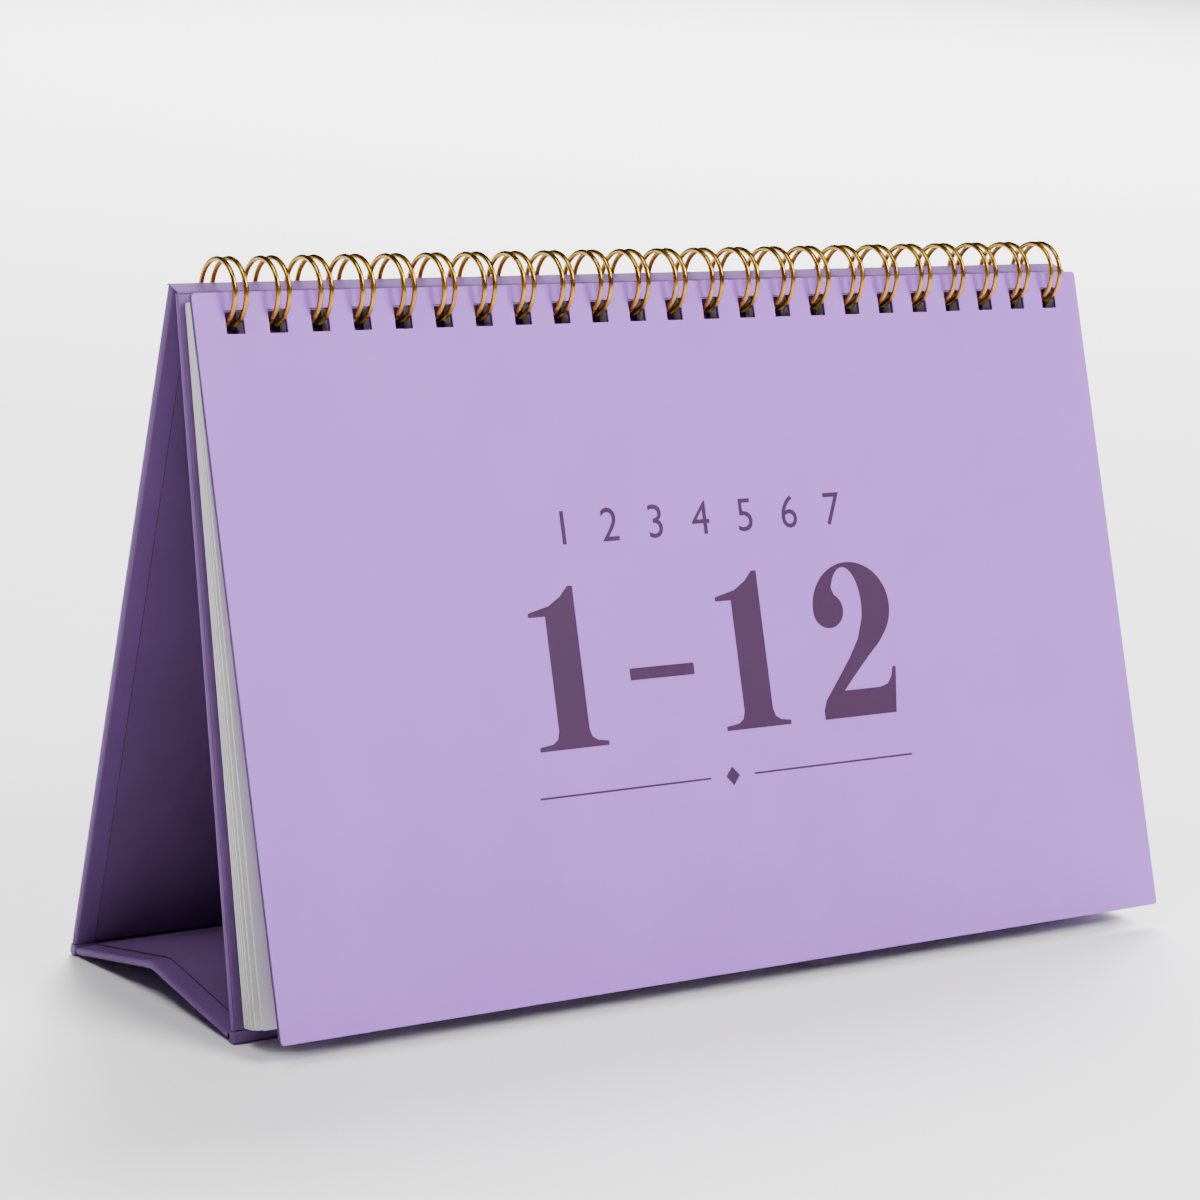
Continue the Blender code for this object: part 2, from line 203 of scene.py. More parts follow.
def noise(tree, scale, detail, rough=0.5):
    """A noise texture on object coordinates."""
    place = tree.nodes.get("Texture Coordinate") or tree.nodes.new("ShaderNodeTexCoord")
    texture = tree.nodes.new("ShaderNodeTexNoise")
    texture.inputs["Scale"].default_value = scale
    texture.inputs["Detail"].default_value = detail
    texture.inputs["Roughness"].default_value = rough
    tree.links.new(place.outputs["Object"], texture.inputs["Vector"])
    return texture


def tone(tree, texture, low, high, span=(0.35, 0.65)):
    """A colour that runs between two tones with a texture."""
    ramp = tree.nodes.new("ShaderNodeValToRGB")
    ramp.color_ramp.elements[0].position = span[0]
    ramp.color_ramp.elements[1].position = span[1]
    ramp.color_ramp.elements[0].color = [*low, 1.0]
    ramp.color_ramp.elements[1].color = [*high, 1.0]
    tree.links.new(texture.outputs["Fac"], ramp.inputs["Fac"])
    return ramp.outputs["Color"]


def between(tree, texture, low, high):
    """A number that runs between two limits with a texture."""
    spread = tree.nodes.new("ShaderNodeMapRange")
    spread.inputs["From Min"].default_value = 0.3
    spread.inputs["From Max"].default_value = 0.7
    spread.inputs["To Min"].default_value = low
    spread.inputs["To Max"].default_value = high
    tree.links.new(texture.outputs["Fac"], spread.inputs["Value"])
    return spread.outputs["Result"]


def bump(tree, shader, texture, depth, strength):
    """Relief of a given depth in metres."""
    relief = tree.nodes.new("ShaderNodeBump")
    relief.inputs["Strength"].default_value = strength
    relief.inputs["Distance"].default_value = depth
    tree.links.new(texture.outputs["Fac"], relief.inputs["Height"])
    tree.links.new(relief.outputs["Normal"], shader.inputs["Normal"])


def shade(tint, share):
    """A tint made darker or lighter by a share."""
    return [min(1.0, part * share) for part in tint]


def paper_material(name, tint, tooth, depth, rough, clouding=0.04, gloss=0.2):
    """Paper: a fine tooth, faint cloudy tone and a roughness that varies with the tooth.

    The depth of the tooth is in millimetres.
    """
    if name in bpy.data.materials:
        return bpy.data.materials[name]
    made, tree, shader = new_material(name)
    clouds = noise(tree, 55.0, 3.0)
    fibres = noise(tree, tooth, 4.0, 0.62)
    ground = tone(tree, clouds, shade(tint, 1 - clouding), shade(tint, 1 + clouding))
    tree.links.new(ground, shader.inputs["Base Color"])
    tree.links.new(between(tree, fibres, rough - 0.06, rough + 0.06), shader.inputs["Roughness"])
    bump(tree, shader, fibres, depth * MM, 0.45)
    shader.inputs["Specular IOR Level"].default_value = gloss
    return made


# Painted shade: the stand's lilac covering paper, darkened to stand for the shade on the stand
def covering_paper():
    tint = sizes("colours").covering
    return paper_material("lilac_covering_paper", tint, tooth=2600.0, depth=0.035, rough=0.5)


# Painted shade: the lilac lining paper, darkened to stand for the shade inside the tent
def lining_paper():
    tint = sizes("colours").lining
    return paper_material("lilac_lining_paper", tint, tooth=3200.0, depth=0.02, rough=0.8, gloss=0.03)


# Painted shadow: a near-black tone on the lining's thin cut edges, standing in for the shadow line along them
def lining_edge():
    tint = shade(sizes("colours").lining, 0.12)
    return paper_material("painted_shadow_line", tint, tooth=3200.0, depth=0.02, rough=0.8)


# The board's dark tone is painted shade for the insides of the punched holes
def grey_board():
    tint = sizes("colours").board
    return paper_material("raw_board_painted_hole_shade", tint, tooth=1500.0, depth=0.06, rough=0.9, clouding=0.12)


# The leaves' white paper, toned a little darker as painted shade
def leaf_paper():
    tint = sizes("colours").leaf
    return paper_material("white_leaf_paper", tint, tooth=1500.0, depth=0.004, rough=0.7, clouding=0.015)


def cover_face():
    tint = sizes("colours").cover
    return paper_material("matt_lilac_cover", tint, tooth=1300.0, depth=0.006, rough=0.52, clouding=0.025)


def cover_edge():
    tint = sizes("colours").cover_edge
    return paper_material("plum_cover_edge", tint, tooth=3000.0, depth=0.03, rough=0.7, clouding=0.08)


def plum_ink():
    tint = sizes("colours").ink
    return paper_material("plum_ink", tint, tooth=3600.0, depth=0.008, rough=0.5, clouding=0.05)


def gold_wire():
    """Lacquered wire: gold that deepens in patches, with a soft drawn gloss."""
    made, tree, shader = new_material("lacquered_gold_wire")
    patches = noise(tree, 420.0, 3.0)
    grain = noise(tree, 5200.0, 2.0)
    tint = tone(tree, patches, sizes("colours").wire_deep, sizes("colours").wire, (0.3, 0.7))
    tree.links.new(tint, shader.inputs["Base Color"])
    tree.links.new(between(tree, patches, 0.22, 0.32), shader.inputs["Roughness"])
    bump(tree, shader, grain, 0.006 * MM, 0.2)
    shader.inputs["Metallic"].default_value = 1.0
    shader.inputs["Coat Weight"].default_value = 0.5
    shader.inputs["Coat Roughness"].default_value = 0.1
    return made


# Tools

def deselect():
    """Leaves edit mode and deselects every object."""
    if bpy.context.object and bpy.context.object.mode != "OBJECT":
        bpy.ops.object.mode_set(mode="OBJECT")
    bpy.ops.object.select_all(action="DESELECT")


def take(piece):
    """Makes a piece the only selected and the active object."""
    deselect()
    piece.select_set(True)
    bpy.context.view_layer.objects.active = piece


def edit(piece, mode):
    """Opens a piece in edit mode with nothing selected, and returns its edit mesh."""
    take(piece)
    bpy.ops.object.mode_set(mode="EDIT")
    bpy.ops.mesh.select_mode(type=mode)
    bpy.ops.mesh.select_all(action="DESELECT")
    return bmesh.from_edit_mesh(piece.data)


def choose(piece, parts):
    """Selects parts of the edit mesh."""
    for part in parts:
        part.select_set(True)
    bmesh.update_edit_mesh(piece.data)


def leave():
    bpy.ops.object.mode_set(mode="OBJECT")


def copy_of(node, name):
    """A piece that starts as a CAD node, with its triangles merged into flat faces."""
    piece = bpy.data.objects.new(name, frame["nodes"][node].data.copy())
    piece.data.name = name
    piece.data.materials.clear()
    bpy.context.scene.collection.objects.link(piece)
    edit(piece, "FACE")
    bpy.ops.mesh.select_all(action="SELECT")
    bpy.ops.mesh.remove_doubles(threshold=0.002 * MM)
    bpy.ops.mesh.dissolve_limited(angle_limit=math.radians(0.5))
    leave()
    return piece


def round_edges(piece, test, width, steps):
    """Rounds the edges that a test picks."""
    mesh = edit(piece, "EDGE")
    choose(piece, [edge for edge in mesh.edges if test(edge)])
    bpy.ops.mesh.bevel(offset=width, segments=steps, affect="EDGES", profile=0.5, clamp_overlap=False)
    leave()


def is_sharp(edge):
    return len(edge.link_faces) == 2 and edge.calc_face_angle() > math.radians(30)


def apply_modifier(piece, kind, **settings):
    """Adds a modifier with its settings and applies it."""
    take(piece)
    bpy.ops.object.modifier_add(type=kind)
    modifier = piece.modifiers[-1]
    for key, value in settings.items():
        setattr(modifier, key, value)
    bpy.ops.object.modifier_apply(modifier=modifier.name)


def settle(piece, place):
    """Puts a piece's place into its mesh, so that its object sits at the origin."""
    piece.matrix_world = place @ piece.matrix_world
    take(piece)
    bpy.ops.object.transform_apply(location=True, rotation=True, scale=True)


def finish(piece, body, materials, smooth=35.0):
    """Smooths a piece with its flat faces kept flat, gives it its materials and rides it on a body."""
    take(piece)
    bpy.ops.object.shade_smooth_by_angle(angle=math.radians(smooth))
    apply_modifier(piece, "WEIGHTED_NORMAL", keep_sharp=True)
    for material in materials:
        piece.data.materials.append(material)
    if body:
        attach(piece, body)
    return piece


def dress(node, material):
    """Gives a CAD node its material."""
    data = frame["nodes"][node].data
    data.materials.clear()
    data.materials.append(material)


def swept_strip(name, section, half_width):
    """A strip across the stand: a plane whose edge is extruded along a section of (y, z) points."""
    deselect()
    bpy.ops.mesh.primitive_plane_add(size=2.0)
    strip = bpy.context.object
    strip.name = name
    strip.data.name = name
    mesh = edit(strip, "EDGE")
    for corner in mesh.verts:
        y, z = section[0] if corner.co.y < 0 else section[1]
        corner.co = (math.copysign(half_width, corner.co.x), y, z)
    lead = Vector(section[1])

    def leads(edge):
        return all((corner.co.yz - lead).length < 1e-7 for corner in edge.verts)

    choose(strip, [edge for edge in mesh.edges if leads(edge)])
    for start, end in zip(section[1:], section[2:]):
        step = (0.0, end[0] - start[0], end[1] - start[1])
        bpy.ops.mesh.extrude_region_move(TRANSFORM_OT_translate={"value": step})
    leave()
    return strip


def arc(centre, radius, start, end, steps):
    """Points of an arc in the (y, z) plane, from one angle to another."""
    points = []
    for step in range(steps + 1):
        turn = start + (end - start) * step / steps
        points.append((centre[0] + radius * math.cos(turn), centre[1] + radius * math.sin(turn)))
    return points


def page_frame(lean):
    """The flat frame of a page: x across, y into the page, z up, from the turning line."""
    return Matrix.Translation(TURN) @ Matrix.Rotation(-lean, 4, "X")


def page_span(node, lean):
    """Lowest and highest corner of a page in its own flat frame."""
    flat = page_frame(lean).inverted()
    corners = [flat @ vertex.co for vertex in frame["nodes"][node].data.vertices]
    low = Vector([min(corner[axis] for corner in corners) for axis in range(3)])
    high = Vector([max(corner[axis] for corner in corners) for axis in range(3)])
    return low, high


def leaf_nodes():
    return sorted(node for node in frame["nodes"] if node.startswith("leaf_"))


def leaf_lean(node):
    """How far a leaf leans, from the middle of its top end to the middle of its bottom end."""
    low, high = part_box(node)
    corners = [vertex.co for vertex in frame["nodes"][node].data.vertices]
    top = [co.y for co in corners if high.z - co.z < 0.2 * MM]
    foot = [co.y for co in corners if co.z - low.z < 0.2 * MM]
    return math.atan2(sum(top) / len(top) - sum(foot) / len(foot), high.z - low.z)


# The wire

BEND_STEPS = 5
LOOP_STEPS = 52
TIP_STEPS = 10


def loop_flat(x):
    """One twin loop laid flat: (x, way round the ring), from link to tip and back to link."""
    wire = sizes("wire")
    half = wire.twin / 2
    whole = 2 * math.pi * wire.ring - wire.seam_gap
    near, far = wire.bend, whole - half
    left = []
    for step in range(BEND_STEPS + 1):
        turn = math.pi / 2 * step / BEND_STEPS
        left.append((-half - wire.bend + wire.bend * math.sin(turn), wire.bend - wire.bend * math.cos(turn)))
    left += [(-half, near + (far - near) * step / LOOP_STEPS) for step in range(1, LOOP_STEPS + 1)]
    tip = []
    for step in range(1, TIP_STEPS):
        turn = math.pi * (1 - step / TIP_STEPS)
        tip.append((half * math.cos(turn), far + half * math.sin(turn)))
    right = [(-across, way) for across, way in reversed(left)]
    return [(x + across, way) for across, way in left + tip + right]


def wire_path():
    """The whole wire: every twin loop joined to the next by a straight link."""
    wire = sizes("wire")
    flat = []
    for loop in range(wire.loops):
        flat += loop_flat((loop - (wire.loops - 1) / 2) * wire.pitch)
    flat = [(flat[0][0] - wire.wire, 0.0)] + flat + [(flat[-1][0] + wire.wire, 0.0)]
    middle = TURN + Vector((0, wire.ring_back, -wire.ring_down))
    points = []
    for x, way in flat:
        turn = wire.seam + way / wire.ring
        points.append(middle + Vector((x, wire.ring * math.cos(turn), wire.ring * math.sin(turn))))
    return points


class CALENDAR_OT_wire(bpy.types.Operator):
    """Bends one gold wire into a row of twin loops"""
    bl_idname = "calendar.wire"
    bl_label = "Twin-Loop Wire"

    def execute(self, context):
        curve = bpy.data.curves.new("twin_loop_wire", "CURVE")
        curve.dimensions = "3D"
        curve.bevel_depth = sizes("wire").wire / 2
        curve.bevel_resolution = 3
        curve.use_fill_caps = True
        points = wire_path()
        spline = curve.splines.new("POLY")
        spline.points.add(len(points) - 1)
        for knot, point in zip(spline.points, points):
            knot.co = (*point, 1.0)
        piece = bpy.data.objects.new("twin_loop_wire", curve)
        context.scene.collection.objects.link(piece)
        take(piece)
        bpy.ops.object.convert(target="MESH")
        piece = bpy.context.object
        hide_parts("wire_binding")
        finish(piece, "stand_front", [gold_wire()], smooth=60.0)
        return {"FINISHED"}


# The stand

PANEL_BODIES = {
    "front": "stand_front",
    "back": "back_panel",
    "base_front": "base_front",
    "base_back": "base_back",
}
SIDE_STEPS = 6
FOOT_STEPS = 4


def darken_ends(lining):
    """Paints the cut side edges of a lining near black: a painted shadow line along the lining's edge."""
    for face in lining.data.polygons:
        face.material_index = 1 if abs(face.normal.x) > 0.7 else 0


class CALENDAR_OT_panels(bpy.types.Operator):
    """Wraps the four panels in covering paper that turns softly round their sides, and lines them"""
    bl_idname = "calendar.panels"
    bl_label = "Wrapped Panels"

    def execute(self, context):
        half = sizes("stand").half_width

        def along_side(edge):
            ends = [vertex.co for vertex in edge.verts]
            at_side = all(abs(abs(co.x) - half) < 0.01 * MM for co in ends)
            return at_side and edge.calc_length() > 10 * MM

        for panel, body in PANEL_BODIES.items():
            wrap = copy_of(panel + "_wrap", panel + "_covering")
            round_edges(wrap, along_side, sizes("stand").edge_round, SIDE_STEPS)
            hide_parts(panel + "_wrap")
            finish(wrap, body, [covering_paper()])
            # The boards get the dark painted-shade tone that makes the punched holes look shadowed
            dress(panel + "_board", grey_board())
            lining = copy_of(panel + "_liner", panel + "_lining")
            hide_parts(panel + "_liner")
            finish(lining, body, [lining_paper(), lining_edge()])
            darken_ends(lining)
        return {"FINISHED"}


def panel_point(side, depth, along):
    """A (y, z) point of a tent panel: depth out from its inner face, along down from the ridge."""
    stand = sizes("stand")
    lean = side * stand.lean
    y, z = side * (stand.gap + depth), -along
    return Vector((y * math.cos(lean) - z * math.sin(lean), y * math.sin(lean) + z * math.cos(lean)))


class CALENDAR_OT_spine(bpy.types.Operator):
    """Folds the covering paper over the ridge, from the front panel up to the back panel"""
    bl_idname = "calendar.spine"
    bl_label = "Spine"

    def execute(self, context):
        stand = sizes("stand")
        front_centre = panel_point(FRONT, stand.panel - stand.spine_front, stand.front_drop)
        back_centre = panel_point(BACK, stand.panel - stand.spine_back, stand.back_drop)
        across = back_centre - front_centre
        taper = math.asin((stand.spine_front - stand.spine_back) / across.length)
        crown = math.atan2(across.y, across.x) - taper + math.pi / 2
        front = arc(front_centre, stand.spine_front, math.pi - stand.lean, crown, 6)
        back = arc(back_centre, stand.spine_back, crown, stand.lean, 8)
        start, end = Vector(front[-1]), Vector(back[0])
        flat = [tuple(start.lerp(end, share / 8)) for share in range(1, 8)]
        section = [(RIDGE.y + y, RIDGE.z + z) for y, z in front + flat + back]
        spine = swept_strip("ridge_spine", section, stand.half_width)
        apply_modifier(spine, "SOLIDIFY", thickness=stand.paper, offset=-1.0)
        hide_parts("ridge_strip")
        finish(spine, None, [covering_paper()])
        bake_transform(spine)
        return {"FINISHED"}


class CALENDAR_OT_feet(bpy.types.Operator):
    """Rounds the folded edges of paper that the stand rests on"""
    bl_idname = "calendar.feet"
    bl_label = "Feet"

    def execute(self, context):
        for node, body in (("front_foot_strip", "stand_front"), ("back_foot_strip", "back_panel")):
            foot = copy_of(node, node.replace("strip", "fold"))
            round_edges(foot, is_sharp, sizes("stand").foot_round, FOOT_STEPS)
            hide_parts(node)
            finish(foot, body, [covering_paper()])
        return {"FINISHED"}


CREASE_STEPS = 4
PUCKER_CUTS = 120
PUCKER_GRAIN = 4 * MM
PUCKER_REACH = 1.5


class CALENDAR_OT_crease(bpy.types.Operator):
    """Joins the two halves of the base with a soft crease, which rides on the front half of the base"""
    bl_idname = "calendar.crease"
    bl_label = "Crease"

    def crease_section(self, depth, overlap):
        """Section of the crease at a depth under the base's inner face."""
        stand = sizes("stand")
        rise = stand.base_rise
        middle = (FRONT_FOOT.y + BACK_FOOT.y) / 2
        start = stand.base_half - overlap
        under = Vector((math.sin(rise), -math.cos(rise))) * depth
        low = FRONT_FOOT.yz + Vector((math.cos(rise), math.sin(rise))) * start + under
        peak = low.y + (middle - low.x) * math.tan(rise)
        left = [low]
        for step in range(CREASE_STEPS):
            across = stand.crease_round * (1 - step / CREASE_STEPS)
            sunk = math.tan(rise) * (stand.crease_round - across) ** 2 / (2 * stand.crease_round)
            left.append(Vector((middle - across, peak - across * math.tan(rise) - sunk)))
        top = Vector((middle, peak - math.tan(rise) * stand.crease_round / 2))
        right = [Vector((2 * middle - point.x, point.y)) for point in reversed(left)]
        return [tuple(point) for point in left + [top] + right]

    def pucker(self, piece, middle):
        """Cuts a strip finely across and lets small puckers run along its crease."""
        stand = sizes("stand")
        mesh = edit(piece, "EDGE")
        across = [edge for edge in mesh.edges if abs(edge.verts[0].co.x - edge.verts[1].co.x) > 10 * MM]
        choose(piece, across)
        bpy.ops.mesh.subdivide(number_cuts=PUCKER_CUTS)
        leave()
        group = piece.vertex_groups.new(name="crease")
        for vertex in piece.data.vertices:
            share = max(0.0, 1 - abs(vertex.co.y - middle) / (PUCKER_REACH * stand.crease_round))
            group.add([vertex.index], share, "REPLACE")
        texture = bpy.data.textures.get("crease_puckers") or bpy.data.textures.new("crease_puckers", "CLOUDS")
        texture.noise_scale = PUCKER_GRAIN
        texture.noise_depth = 1
        apply_modifier(
            piece, "DISPLACE", texture=texture, texture_coords="LOCAL", direction="Z", mid_level=0.5,
            strength=stand.pucker, vertex_group="crease")
        piece.vertex_groups.clear()

    def execute(self, context):
        stand = sizes("stand")
        start = Vector((0.0, *self.crease_section(0.0, stand.panel)[0]))
        middle = (FRONT_FOOT.y + BACK_FOOT.y) / 2
        under = self.crease_section(stand.lining_depth, stand.panel)
        fold = swept_strip("crease_fold", under, stand.half_width)
        self.pucker(fold, middle)
        apply_modifier(fold, "SOLIDIFY", thickness=stand.panel - stand.lining_depth, offset=-1.0)

        def along_side(edge):
            at_side = all(abs(abs(v.co.x) - stand.half_width) < 0.01 * MM for v in edge.verts)
            run = edge.verts[0].co - edge.verts[1].co
            return at_side and is_sharp(edge) and abs(run.y) > abs(run.z)

        round_edges(fold, along_side, stand.edge_round, SIDE_STEPS)
        finish(fold, "base_front", [covering_paper()])
        over = self.crease_section(0.0, stand.paper)
        lining = swept_strip("crease_lining", over, stand.half_width - stand.lining_inset)
        self.pucker(lining, middle)
        apply_modifier(lining, "SOLIDIFY", thickness=stand.paper, offset=-1.0)
        finish(lining, "base_front", [lining_paper(), lining_edge()])
        darken_ends(lining)
        for piece in (fold, lining):
            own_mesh(piece)
        return {"FINISHED"}


# The pages

class CALENDAR_OT_cover(bpy.types.Operator):
    """Softens the punched cover board and shows its plum core at the cut edges"""
    bl_idname = "calendar.cover"
    bl_label = "Cover"

    def execute(self, context):
        pages = sizes("pages")
        cover = copy_of("front_cover", "cover_sheet")
        round_edges(cover, is_sharp, pages.cover_edge, steps=2)
        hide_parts("front_cover")
        finish(cover, "cover_page", [cover_face(), cover_edge()])
        facing = page_frame(pages.cover_lean).to_3x3() @ Vector((0, 1, 0))
        for face in cover.data.polygons:
            face.material_index = 0 if abs(face.normal.dot(facing)) > 0.3 else 1
        return {"FINISHED"}


def flat_shape(name, outlines):
    """A flat filled shape of closed outlines, as a mesh in its own x and y."""
    curve = bpy.data.curves.new(name, "CURVE")
    curve.dimensions = "2D"
    curve.fill_mode = "FRONT"
    for outline in outlines:
        spline = curve.splines.new("POLY")
        spline.points.add(len(outline) - 1)
        spline.use_cyclic_u = True
        for knot, (x, y) in zip(spline.points, outline):
            knot.co = (x, y, 0.0, 1.0)
    piece = bpy.data.objects.new(name, curve)
    bpy.context.scene.collection.objects.link(piece)
    take(piece)
    bpy.ops.object.convert(target="MESH")
    return bpy.context.object


DIGIT_SHARE = 0.7


def text_shape(name, body, height, place):
    """Small plain numerals, centred on a place, as a mesh in its own x and y."""
    deselect()
    bpy.ops.object.text_add(location=(place[0], place[1], 0.0))
    text = bpy.context.object
    text.name = name
    text.data.body = body
    text.data.size = height / DIGIT_SHARE
    text.data.align_x = "CENTER"
    text.data.resolution_u = 3
    take(text)
    bpy.ops.object.convert(target="MESH")
    piece = bpy.context.object
    bpy.ops.object.transform_apply(location=True, rotation=True, scale=True)
    return piece


def join(pieces, name):
    """Joins pieces into one."""
    deselect()
    for piece in pieces:
        piece.select_set(True)
    bpy.context.view_layer.objects.active = pieces[0]
    bpy.ops.object.join()
    pieces[0].name = name
    pieces[0].data.name = name
    return pieces[0]


def numeral_one():
    """The outline of a large 1, one unit high."""
    return [
        (0.0, 0.0), (0.52, 0.0), (0.52, 0.028), (0.44, 0.04), (0.4, 0.066), (0.385, 0.115), (0.385, 1.0),
        (0.345, 1.0), (0.285, 0.94), (0.19, 0.885), (0.03, 0.85), (0.03, 0.822), (0.155, 0.822),
        (0.155, 0.115), (0.14, 0.066), (0.1, 0.04), (0.0, 0.028)]


def numeral_two():
    """The outline of a large 2, one unit high: a ball, a bowl, a long neck and a foot."""
    def bow(centre, radii, start, end, steps):
        turns = [math.radians(start + (end - start) * step / steps) for step in range(steps + 1)]
        return [(centre[0] + radii[0] * math.cos(t), centre[1] + radii[1] * math.sin(t)) for t in turns]

    foot = [(0.0, 0.0), (0.6, 0.0), (0.64, 0.3), (0.612, 0.3), (0.59, 0.235), (0.555, 0.192), (0.49, 0.175)]
    neck_low = [(0.19, 0.175), (0.3, 0.275), (0.42, 0.38), (0.52, 0.46)]
    outer = bow((0.33, 0.71), (0.32, 0.295), -38, 178, 30)
    ball = bow((0.135, 0.7), (0.125, 0.115), 176, 420, 24)
    inner = bow((0.29, 0.735), (0.125, 0.238), 152, -28, 24)
    neck_high = [(0.35, 0.5), (0.26, 0.38), (0.14, 0.245), (0.03, 0.125), (0.0, 0.06)]
    return foot + neck_low + outer + ball + inner + neck_high


def scaled(outline, height, x, y):
    """An outline of unit height, brought to a height and a place."""
    return [(x + px * height, y + py * height) for px, py in outline]


def bar(near, far, level, thin):
    """The outline of a thin level bar."""
    return [(near, level - thin), (far, level - thin), (far, level + thin), (near, level + thin)]


NUMERALS_LEFT = -1.44
DIAMOND_SHARE = 0.9
DAY_INSET = 0.14


class CALENDAR_OT_cover_print(bpy.types.Operator):
    """Prints plain numerals and a thin rule with a diamond on the cover"""
    bl_idname = "calendar.cover_print"
    bl_label = "Cover Print"

    def execute(self, context):
        pages = sizes("pages")
        high = pages.numeral
        foot = -pages.numeral_foot
        dash = [(0.0, 0.38), (0.5, 0.38), (0.5, 0.455), (0.0, 0.455)]
        signs = ((numeral_one(), 0.74), (dash, 0.7), (numeral_one(), 0.8), (numeral_two(), 0.66))
        outlines = []
        x = NUMERALS_LEFT * high
        for outline, advance in signs:
            outlines.append(scaled(outline, high, x, foot))
            x += advance * high
        level, thin, tip = -pages.rule_level, pages.rule_line / 2, pages.diamond
        for side in (-1, 1):
            outlines.append(bar(side * pages.rule_gap, side * pages.rule_half, level, thin))
        wide = DIAMOND_SHARE * tip
        outlines.append([(0.0, level - tip), (wide, level), (0.0, level + tip), (-wide, level)])
        shapes = [flat_shape("cover_numerals", outlines)]
        for place in range(7):
            x = pages.row_width * (place / 6 - 0.5)
            shapes.append(text_shape("row", str(place + 1), pages.row, (x, -pages.row_foot)))
        ink = join(shapes, "cover_print")
        face = page_span("front_cover", pages.cover_lean)[0].y - pages.ink_lift
        upright = Matrix.Translation((0, face, 0)) @ Matrix.Rotation(math.pi / 2, 4, "X")
        settle(ink, page_frame(pages.cover_lean) @ upright)
        finish(ink, "cover_page", [plum_ink()])
        return {"FINISHED"}


class CALENDAR_OT_leaves(bpy.types.Operator):
    """Gives the leaves their paper and prints a plain grid of day numbers on both sides of each"""
    bl_idname = "calendar.leaves"
    bl_label = "Leaves"

    def month(self, name, index, half, top, foot):
        """A grid of day numbers, flat in x and y."""
        pages = sizes("pages")
        shift = (3 * index + 2) % 7
        days = 30 + index % 2
        rows = math.ceil((days + shift) / 7)
        left, right = -half + pages.month_side, half - pages.month_side
        high, low = top - pages.month_top, foot + pages.month_foot
        wide, tall = (right - left) / 7, (high - low) / rows
        lines = [bar(left, right, high - row * tall, pages.month_line / 2) for row in range(rows + 1)]
        shapes = [flat_shape("rules", lines)]
        for day in range(1, days + 1):
            row, column = divmod(day - 1 + shift, 7)
            place = (left + (column + DAY_INSET) * wide, high - row * tall - pages.day_drop)
            shapes.append(text_shape("day", str(day), pages.day, place))
        return join(shapes, name)

    def execute(self, context):
        lift = sizes("pages").ink_lift
        for index, node in enumerate(leaf_nodes()):
            dress(node, leaf_paper())
            lean = leaf_lean(node)
            low, high = page_span(node, lean)
            sides = []
            for side, face in ((0, low.y - lift), (1, high.y + lift)):
                month = self.month(node + "_side", 2 * index + side, high.x, high.z, low.z)
                turn = Matrix.Rotation(math.pi * side, 4, "Z") @ Matrix.Rotation(math.pi / 2, 4, "X")
                settle(month, page_frame(lean) @ Matrix.Translation((0, face, 0)) @ turn)
                sides.append(month)
            ink = join(sides, node + "_print")
            finish(ink, node + "_page", [plum_ink()])
        return {"FINISHED"}


# The stage

# The camera: degrees, and pixels of the square frame
FRAME_SIDE = 1200
CAMERA_PLACE = (-0.4137, -0.54062, 0.2)
AZIMUTH = 36.681
ELEVATION = 11.585
ROLL = -3.292
FOCAL_PIXELS = 3716.0
LENS_CENTRE = (608.3, 624.5)
SENSOR = 36.0
VIEW_REACH = 50.0

# The lamps: name, shape, place, what it is aimed at, width, power, and whether gloss mirrors it
MIDDLE = (0.0, 0.0, 0.07)
LAMPS = (
    ("backdrop", "SQUARE", (2.4, 2.9, 2.2), (2.4, 2.9, 0.0), 4.0, 500.0, False),
    ("rear", "DISK", (1.2, 1.5, 2.2), MIDDLE, 1.0, 120.0, False),
    ("key", "DISK", (0.42, -1.18, 1.1), MIDDLE, 0.8, 41.0, True),
    ("fill", "DISK", (-0.65, -0.25, 1.45), MIDDLE, 0.8, 15.0, True),
)
SKY_LIGHT = 0.065
FLOOR_SIDE = 30.0
GLOW_START, GLOW_FULL = 0.6, 3.0
GLOW = 0.8
WALL_RADIUS = 9.0
WALL_HEIGHT = 12.0
WALL_TONES = (0.79, 0.8)
WHITE = (1.0, 1.0, 1.0, 1.0)


def aim(place, target):
    """A frame at a place whose -Z looks at a target."""
    turn = (Vector(target) - Vector(place)).to_track_quat("-Z", "Y")
    return Matrix.Translation(place) @ turn.to_matrix().to_4x4()


def floor_paper():
    """The floor's pale paper, which glows a little far off, so that no side ends in the dark."""
    tint = sizes("colours").floor
    made = paper_material("pale_floor", tint, tooth=900.0, depth=0.02, rough=0.8, clouding=0.005)
    tree = made.node_tree
    shader = tree.nodes["Principled BSDF"]
    reach = tree.nodes.new("ShaderNodeVectorMath")
    reach.operation = "LENGTH"
    glow = tree.nodes.new("ShaderNodeMapRange")
    glow.inputs["From Min"].default_value = GLOW_START
    glow.inputs["From Max"].default_value = GLOW_FULL
    glow.inputs["To Min"].default_value = 0.0
    glow.inputs["To Max"].default_value = GLOW
    shader.inputs["Emission Color"].default_value = WHITE
    tree.links.new(tree.nodes["Texture Coordinate"].outputs["Object"], reach.inputs["Vector"])
    tree.links.new(reach.outputs["Value"], glow.inputs["Value"])
    tree.links.new(glow.outputs["Result"], shader.inputs["Emission Strength"])
    return made


def wall_paint():
    """The far wall's pale paint, bright by itself and faintly cloudy."""
    made, tree, shader = new_material("pale_backdrop")
    low, high = ([value] * 3 for value in WALL_TONES)
    tint = tone(tree, noise(tree, 0.3, 2.0), low, high)
    tree.links.new(tint, shader.inputs["Emission Color"])
    shader.inputs["Emission Strength"].default_value = 1.0
    return made


